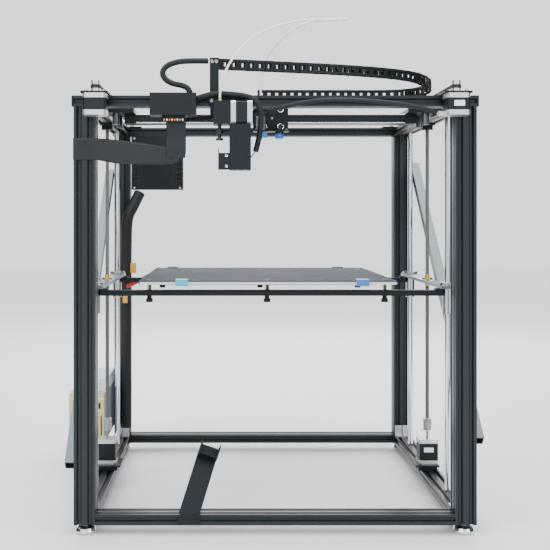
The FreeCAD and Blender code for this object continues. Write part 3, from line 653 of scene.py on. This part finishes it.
spots = [(at(s * (330 + dx), -374 + dy, 820.5), UP)
         for s in (-1, 1) for dx in (-15.5, 15.5) for dy in (-15.5, 15.5)]
spots += [(at(s * 330 + dx, y, 820.5), UP) for s in (-1, 1) for dx in (-20, 20) for y in (-330, 342)]
screws("corner_plate_screws", "frame", spots)
screws("gantry_bolts", "gantry", [(at(s * 305 + dx, y, 812), UP) for s in (-1, 1) for dx in (-10, 18)
                                  for y in (-148, -122)], silver, 0.0042, 0.0036)
screws("junction_screws", "frame", [(at(x, -395.2, 797), FRONT) for x in (-218, -157)],
       black_metal, 0.0032, 0.0006)
screws("bracket_screws", "frame", [(at(x, -353, 880), FRONT) for x in (-116.5, -109)]
       + [(at(-118, -353, 807.5), FRONT), (at(-50, -353, 809), FRONT)])
screws("cover_screws", "frame", [(at(-90.5, -394.5, z), FRONT) for z in (703, 684)],
       radius=0.0026, height=0.0009)
screws("spool_arm_screws", "frame", [(at(x, -353, 31), FRONT) for x in (-174, -146)],
       black_metal, 0.003, 0.001)
screws("side_plate_screws", "platform", [(at(s * 352 + dx, y, 455), UP) for s in (-1, 1) for dx in (-12, 12)
                                         for y in (-222, -178, 178, 222)], radius=0.0026)
screws("bed_screws", "platform", [(at(x, y, 466.2), UP) for x in (-245, -9, 227) for y in (-201, 201)],
       radius=0.0036, height=0.0004)
PLATE_SPOTS = ((-30, 817), (30, 817), (-30, 770), (32, 770), (3, 794))
screws("carriage_screws", "carriage", [(at(x, -163, z), FRONT) for x, z in PLATE_SPOTS], radius=0.0026)
screws("controller_screws", "frame", [(at(x, 300, z), FRONT) for x in (-322, -207) for z in (666, 790)],
       radius=0.0026, height=0.0012)


# ---------------------------------------------------------------- small trim

def labels(bm):
    """Small blank labels on the fronts of the right lift motor and the right belt motor."""
    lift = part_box("lift_motors")[0][1]
    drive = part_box("belt_motors")[0][1]
    inset = 0.9 * MM    # the laminations lie behind the end bells by a little more
    for x0, x1, z0, z1, face in ((343, 364, 76, 86, lift + inset), (322, 341, 793.5, 803.5, drive + inset)):
        lo, hi = at(x0, 0, z0), at(x1, 0, z1)
        block(bm, (lo.x, face, lo.z), (hi.x, face + 0.4 * MM, hi.z), 0)


piece("motor_labels", labels, label_white, "frame")


def vents(bm):
    """Round vent holes in columns on the controller box and slots on the power box, as near-black discs and
    slabs whose dark colour is painted shade standing in for the openings.
    """
    lo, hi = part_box("controller_box")
    for column in (8, 16, 24, 105, 113, 121):
        for row in range(13):
            centre = Vector((lo[0] + column * MM, lo[1] + 0.1 * MM, lo[2] + (14 + 9 * row) * MM))
            disc(bm, centre, FRONT, 2.6 * MM, 0.3 * MM, 6)
    for k in range(9):
        x = supply_lo[0] + (10 + 8 * k) * MM
        block(bm, (x, supply_lo[1] - 0.3 * MM, supply_lo[2] + 15 * MM),
              (x + 3 * MM, supply_lo[1] + 0.2 * MM, supply_lo[2] + 62 * MM), 0.0003)
    for k in range(5):
        x = supply_lo[0] + (14 + 13 * k) * MM
        block(bm, (x, supply_lo[1] - 0.3 * MM, supply_lo[2] + 78 * MM),
              (x + 8 * MM, supply_lo[1] + 0.2 * MM, supply_lo[2] + 92 * MM), 0.0003)


piece("vent_openings", vents, dark_slot, "frame")


def terminal_cover(bm):
    """The ledge, seam and foot of the power box."""
    block(bm, (supply_lo[0] + 0.1 * MM, supply_lo[1] - 1.5 * MM, supply_lo[2] + 100 * MM),
          (supply_hi[0] - 1 * MM, supply_lo[1] + 1 * MM, supply_lo[2] + 104 * MM), 0.0005)
    block(bm, (supply_lo[0] + 0.1 * MM, supply_lo[1] - 1.5 * MM, supply_lo[2] + 0.1 * MM),
          (supply_hi[0] - 1 * MM, supply_lo[1] + 1 * MM, supply_lo[2] + 4 * MM), 0.0005)


piece("power_box_ledges", terminal_cover, silver, "frame")


def plugs(bm):
    """Gold plugs clipped on the harness."""
    block(bm, at(-330, 276, 452), at(-316, 286, 478), 0.001)
    block(bm, at(-348, 264, 378), at(-336, 274, 396), 0.001)


piece("harness_plugs", plugs, gold_plug, "frame")


def contacts(first):
    """Every second coloured contact under the junction box."""

    def build(bm):
        for k in range(first, 8, 2):
            block(bm, at(-205 + 4.8 * k, -384.0, 767.5), at(-202.4 + 4.8 * k, -383.3, 771), 0.0003)

    return build


piece("plug_contacts_orange", contacts(0), orange_plug, "frame")
piece("plug_contacts_white", contacts(1), white_plug, "frame")


def seams(bm):
    """Lid seams of the junction box and of the extruder body."""
    lo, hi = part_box("junction_box")
    block(bm, (lo[0] + 0.1 * MM, lo[1] - 0.1 * MM, hi[2] - 7 * MM),
          (hi[0] - 0.1 * MM, lo[1] + 0.2 * MM, hi[2] - 6.4 * MM), 0)
    lo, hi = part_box("extruder_body")
    block(bm, (lo[0] + 2 * MM, lo[1] - 0.1 * MM, lo[2] + 20 * MM),
          (hi[0] - 2 * MM, lo[1] + 0.2 * MM, lo[2] + 20.6 * MM), 0)


piece("box_seams", seams, dark_slot, "frame")


def thin_wire(bm):
    """The wire that leaves the sleeve's lower end for the cover."""
    disc(bm, at(-37, -366, 712.5), (-0.63, 0.0, -0.77), 1.0 * MM, 15 * MM, 10)


piece("sleeve_wire", thin_wire, black_plastic, "frame")


def wheel_rings():
    """A bright ring on the front of each carriage wheel."""
    for name in WHEELS:
        lo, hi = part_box(name)
        centre = Vector(((lo[0] + hi[0]) / 2, lo[1], (lo[2] + hi[2]) / 2))

        def build(bm, centre=centre):
            rounds, across = 32, 8
            loops = []
            for k in range(rounds):
                turn = 2 * math.pi * k / rounds
                out = Vector((math.cos(turn), 0, math.sin(turn)))
                loops.append([bm.verts.new(centre + out * (5.9 + 0.8 * math.cos(a)) * MM
                                           + Vector((0, (0.5 + 0.8 * math.sin(a)) * MM, 0)))
                              for a in [2 * math.pi * m / across for m in range(across)]])
            for first, second in zip(loops, loops[1:] + loops[:1]):
                for m in range(across):
                    bm.faces.new((first[m], second[m], second[(m + 1) % across], first[(m + 1) % across]))

        piece(name + "_ring", build, chrome, name)


wheel_rings()


# ---------------------------------------------------------------- floor, light and camera

def studio():
    floor_mesh = bpy.data.meshes.new("floor")
    floor_mesh.from_pydata([(-9, -9, 0), (9, -9, 0), (9, 9, 0), (-9, 9, 0)], [], [(0, 1, 2, 3)])
    floor = bpy.data.objects.new("floor", floor_mesh)
    bpy.context.scene.collection.objects.link(floor)
    floor_mesh.materials.append(finish("floor", (0.90, 0.90, 0.90), 0.6, grain=60, depth=0.01, tint=0.02))
    lamps = (("key", (-1.6, -2.4, 2.6), 2.2, 90), ("fill", (2.4, -1.8, 1.6), 2.4, 45),
             ("top", (0.1, 0.2, 3.0), 2.6, 70), ("rear", (0.4, 2.6, 1.9), 2.4, 45))
    for name, place, size, power in lamps:
        light = bpy.data.lights.new(name, "AREA")
        light.size = size
        light.energy = power
        lamp = bpy.data.objects.new(name, light)
        lamp.location = place
        lamp.rotation_euler = (Vector((0, 0, 0.45)) - Vector(place)).to_track_quat("-Z", "Y").to_euler()
        bpy.context.scene.collection.objects.link(lamp)
    for name, x in (("left_card", -1.7), ("right_card", 1.7)):
        mesh = bpy.data.meshes.new(name)
        corners = [(x, -1.2, 0.02), (x, 1.2, 0.02), (x, 1.2, 1.6), (x, -1.2, 1.6)]
        mesh.from_pydata(corners, [], [(0, 1, 2, 3)])
        card = bpy.data.objects.new(name, mesh)
        bpy.context.scene.collection.objects.link(card)
        mesh.materials.append(finish(name, (0.02, 0.02, 0.02), 0.9, grain=60, depth=0.01))
    world = bpy.data.worlds.new("studio")
    world.use_nodes = True
    world.node_tree.nodes["Background"].inputs[0].default_value = (0.93, 0.95, 0.98, 1)
    world.node_tree.nodes["Background"].inputs[1].default_value = 1.7
    bpy.context.scene.world = world
    camera = bpy.data.cameras.new("camera")
    camera.sensor_width = 36.0
    camera.lens = 63.82
    camera.shift_x = 0.0891
    camera.shift_y = -0.1055
    eye = bpy.data.objects.new("camera", camera)
    eye.location = at(-91.3, -2158, 592)
    eye.rotation_euler = (math.radians(90), 0, 0)
    bpy.context.scene.collection.objects.link(eye)
    bpy.context.scene.camera = eye


studio()
